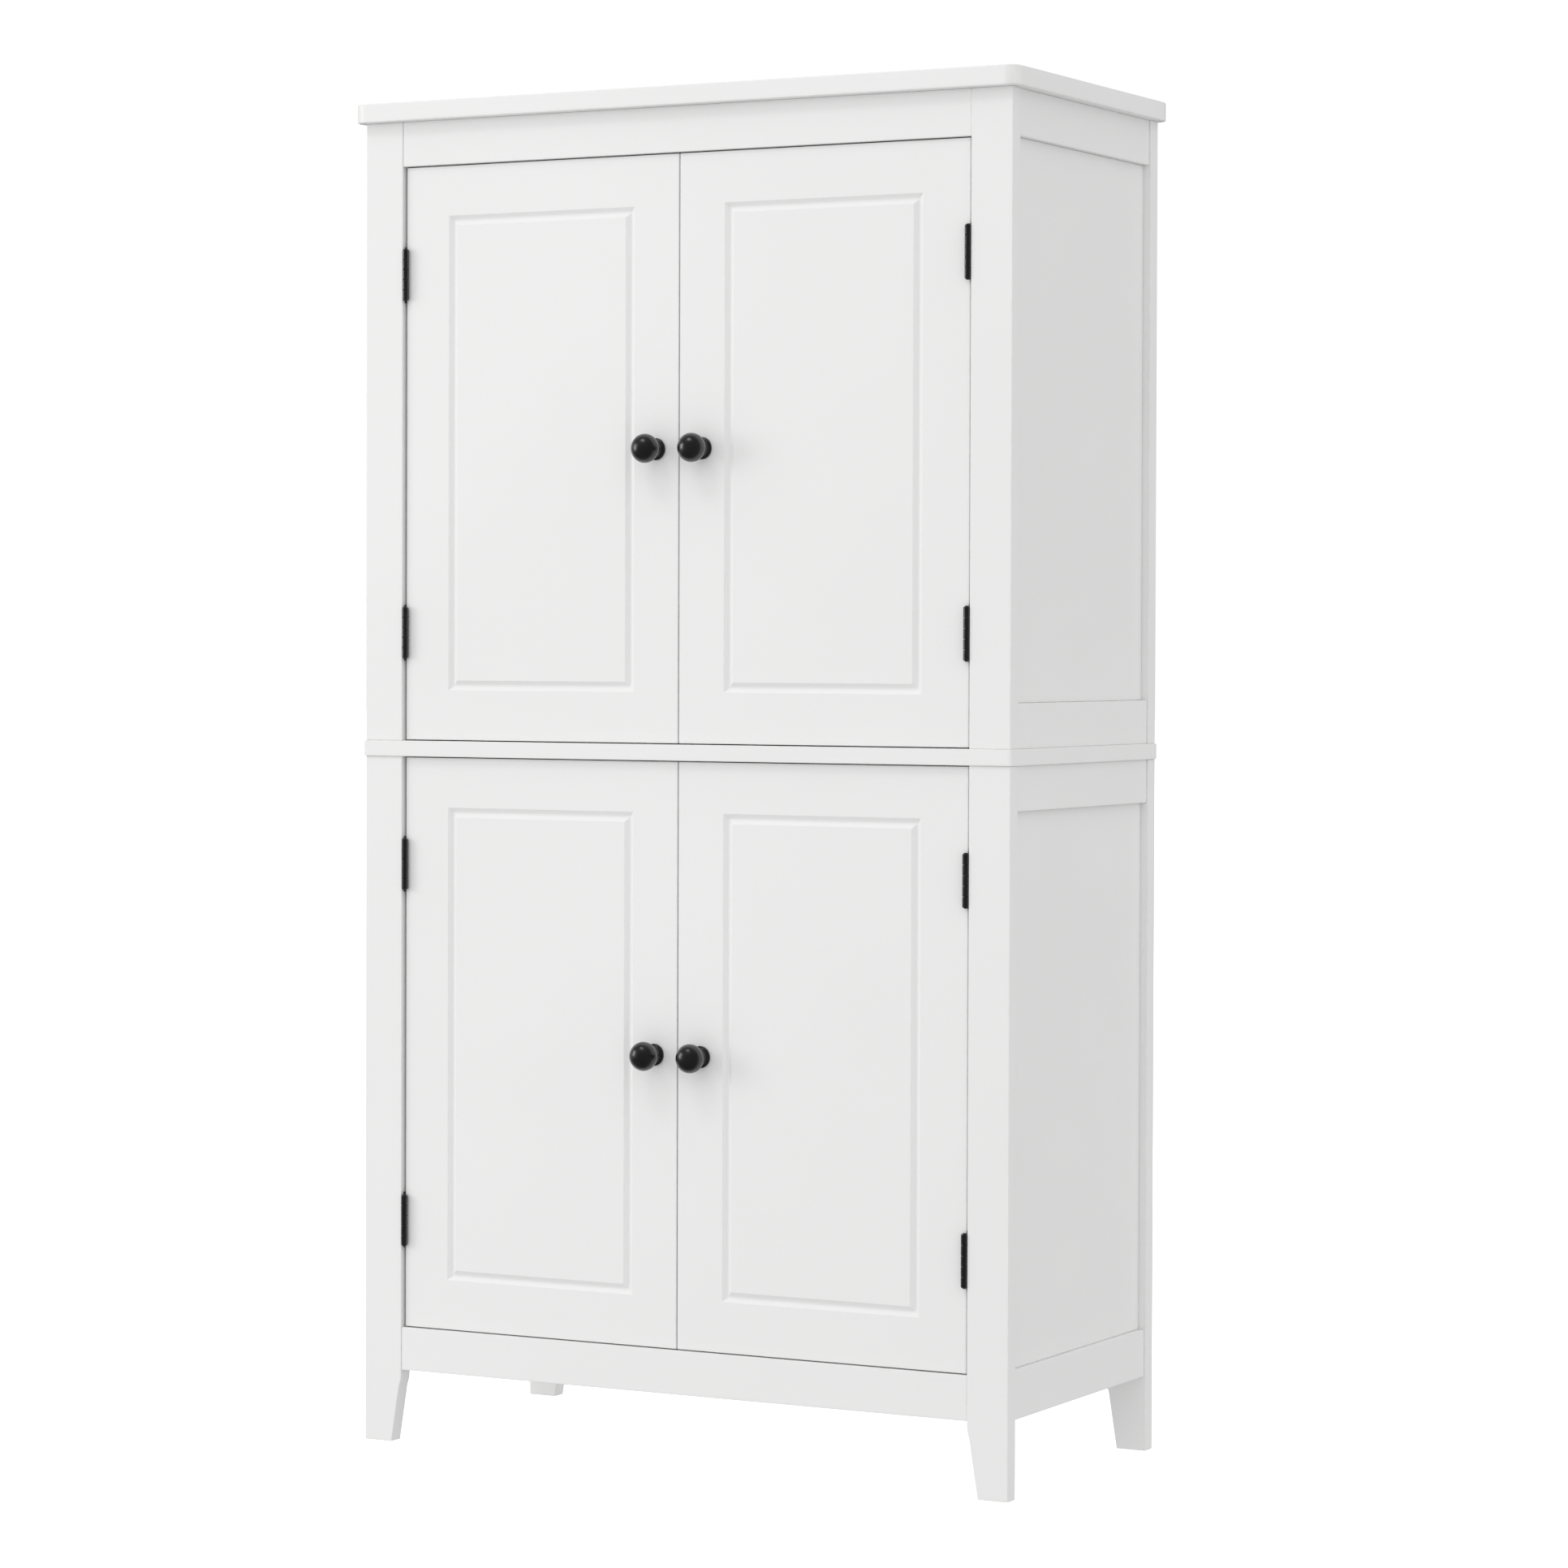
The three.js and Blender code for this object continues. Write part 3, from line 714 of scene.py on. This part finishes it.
# ======== Catches, strike plates and shelf pins ========
for unit in UNITS:
    board(f"catch_{unit}", "z", white_plastic, ease=0.0012, corner=0.0030)
    low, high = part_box(f"catch_{unit}")
    for word, sign in SIDES.items():
        node = f"strike_plate_{unit}_{word}"
        plate_low, plate_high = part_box(node)
        plate = rectangle(plate_low.x, plate_low.z, plate_high.x, plate_high.z)
        stations = eased_side(METAL_EASE, METAL_BAND, plate_high.y - plate_low.y)
        data = slab_mesh(node + "_visual", plate, "y", plate_low.y, stations, STRIKE_CORNER)
        finish_piece(node + "_visual", data, hinge_coat, f"door_{unit}_{word}", (node,))
        poles = []
        for level in (-POLE_LEVEL, POLE_LEVEL):
            centre_z = (low.z + high.z) / 2 + level
            low_z, high_z = centre_z - POLE_HALF_THICK, centre_z + POLE_HALF_THICK
            strip = rectangle(plate_low.x, low_z, plate_high.x, high_z)
            stations = eased_side(METAL_EASE / 2, METAL_EASE, POLE_LENGTH)
            poles.append(slab_mesh("pole", strip, "y", low.y - POLE_PROUD, stations, TINY * 2))
        data = join_meshes(f"magnet_poles_{unit}_{word}", poles)
        finish_piece(f"magnet_poles_{unit}_{word}", data, hinge_coat, "carcass")

for unit in UNITS:
    low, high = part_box(f"shelf_{unit}")
    for word, sign in SIDES.items():
        panel_low, panel_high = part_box(f"side_panel_{unit}_{word}")
        inner_x = panel_low.x if sign > 0 else panel_high.x
        pins = []
        for y in (low.y + SHELF_PIN_INSET, high.y - SHELF_PIN_INSET):
            profile = [(0.0, 0.0), (SHELF_PIN_COLLAR, 0.0), (SHELF_PIN_COLLAR, 0.0008),
                       (SHELF_PIN_RADIUS, 0.0010), (SHELF_PIN_RADIUS, 0.0082),
                       (SHELF_PIN_RADIUS * 0.8, 0.0090), (0.0, SHELF_PIN_REACH)]
            origin = (inner_x, y, low.z - SHELF_PIN_RADIUS - TOUCH_GAP)
            pins.append(lathe_mesh("pin", profile, origin, (-sign, 0, 0), ROUND_SIDES))
        data = join_meshes(f"shelf_pins_{unit}_{word}", pins)
        finish_piece(f"shelf_pins_{unit}_{word}", data, white_plastic, "carcass")


# ======== Studio ========
def area_light(name, place, aim, size_x, size_y, power):
    light = bpy.data.lights.new(name, "AREA")
    light.shape = "RECTANGLE"
    light.size = size_x
    light.size_y = size_y
    light.energy = power
    obj = bpy.data.objects.new(name, light)
    obj.location = place
    obj.rotation_euler = (Vector(aim) - Vector(place)).to_track_quat("-Z", "Y").to_euler()
    bpy.context.scene.collection.objects.link(obj)


def studio_floor():
    """White floor that glows softly. It is left out of the bounced light, so it doesn't light the pieces."""
    data = bpy.data.meshes.new("floor")
    size = FLOOR_SIZE
    corners = [(-size, -size, 0), (size, -size, 0), (size, size, 0), (-size, size, 0)]
    data.from_pydata(corners, [], [(0, 1, 2, 3)])
    floor = bpy.data.objects.new("floor", data)
    bpy.context.scene.collection.objects.link(floor)
    material, tree, shader = new_material("floor_white", 0.9)
    shader.inputs["Base Color"].default_value = (0.9, 0.9, 0.9, 1.0)
    shader.inputs["Specular IOR Level"].default_value = 0.0
    shader.inputs["Emission Color"].default_value = (1.0, 1.0, 1.0, 1.0)
    shader.inputs["Emission Strength"].default_value = FLOOR_GLOW
    data.materials.append(material)
    floor.visible_diffuse = False
    floor.visible_glossy = False


def studio_world(seen, below, above):
    """White all round. The light it casts grows evenly from straight below to straight above."""
    world = bpy.data.worlds.new("studio")
    world.use_nodes = True
    tree = world.node_tree
    background = tree.nodes["Background"]
    background.inputs["Color"].default_value = (1.0, 1.0, 1.0, 1.0)
    place = tree.nodes.new("ShaderNodeTexCoord")
    parts = tree.nodes.new("ShaderNodeSeparateXYZ")
    tree.links.new(place.outputs["Generated"], parts.inputs["Vector"])
    cast = remap(tree, parts.outputs["Z"], below, above, -1.0, 1.0)
    path = tree.nodes.new("ShaderNodeLightPath")
    dimmed = math_node(tree, "MULTIPLY", cast, GLOSS_SHARE)
    cast = mix_value(tree, path.outputs["Is Glossy Ray"], cast, dimmed)
    strength = mix_value(tree, path.outputs["Is Camera Ray"], cast, seen)
    tree.links.new(strength, background.inputs["Strength"])
    bpy.context.scene.world = world


def studio_camera():
    ahead = Vector((
        -math.sin(CAMERA_YAW) * math.cos(CAMERA_PITCH),
        math.cos(CAMERA_YAW) * math.cos(CAMERA_PITCH),
        math.sin(CAMERA_PITCH),
    ))
    level = Vector((math.cos(CAMERA_YAW), math.sin(CAMERA_YAW), 0.0))
    upward = level.cross(ahead)
    right = math.cos(CAMERA_ROLL) * level + math.sin(CAMERA_ROLL) * upward
    top = math.cos(CAMERA_ROLL) * upward - math.sin(CAMERA_ROLL) * level
    data = bpy.data.cameras.new("camera")
    data.sensor_width = SENSOR_WIDTH
    data.lens = CAMERA_LENS
    data.shift_y = CAMERA_SHIFT_Y
    data.clip_end = 200.0
    camera = bpy.data.objects.new("camera", data)
    turn = Matrix((right, top, -ahead)).transposed().to_4x4()
    camera.matrix_world = Matrix.Translation(CAMERA_PLACE) @ turn
    bpy.context.scene.collection.objects.link(camera)
    bpy.context.scene.camera = camera


area_light("key_left", (-4.0, -2.3, 1.4), (0.0, -0.1, 0.7), size_x=1.5, size_y=2.0, power=41.0)
area_light("top_box", (-0.55, -2.0, 3.6), (0.0, -0.2, 0.7), size_x=1.1, size_y=0.6, power=11.0)
studio_floor()
studio_world(seen=1.02, below=0.63, above=1.12)
studio_camera()
bpy.context.scene.view_settings.view_transform = "Standard"
